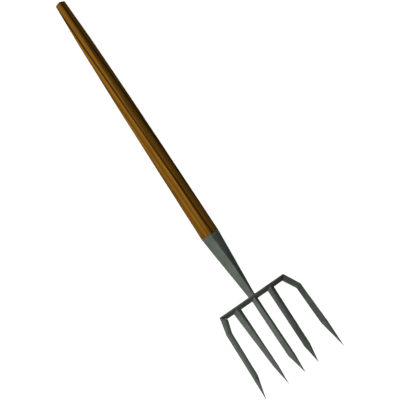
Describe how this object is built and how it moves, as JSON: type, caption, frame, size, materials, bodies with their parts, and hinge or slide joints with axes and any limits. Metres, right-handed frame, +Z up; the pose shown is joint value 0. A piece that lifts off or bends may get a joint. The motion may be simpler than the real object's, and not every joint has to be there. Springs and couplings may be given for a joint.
{
  "type": "hay fork",
  "caption": "Long square-section wooden shaft in a tapered steel socket, with a straight crossbar and a dished head of ridged tines with blade-shaped points.",
  "frame": {"origin": "centre of the bounding box in plan, at the level of its lowest point, which is the lower arris of the shaft where it meets the socket", "axes": "+X along the tool from the butt of the shaft to the points; +Y to the user's left; +Z up, out of the hollow of the head"},
  "size_m": [1.306, 0.2776, 0.1116],
  "materials": {
    "aged_ash": "oiled and darkened ash with dark lengthwise grain, satin",
    "forged_steel": "dark grey-green forged steel with a thin worn scale, dull"
  },
  "bodies": {
    "root": {"handle_shaft": "aged_ash", "socket": "forged_steel", "socket_nail_left": "forged_steel", "socket_nail_right": "forged_steel", "tang_pin": "forged_steel", "crossbar": "forged_steel", "tine_centre": "forged_steel", "tine_inner_left": "forged_steel", "tine_inner_right": "forged_steel", "tine_outer_left": "forged_steel", "tine_outer_right": "forged_steel", "corner_rivet_left": "forged_steel", "corner_rivet_right": "forged_steel"}
  },
  "joints": []
}
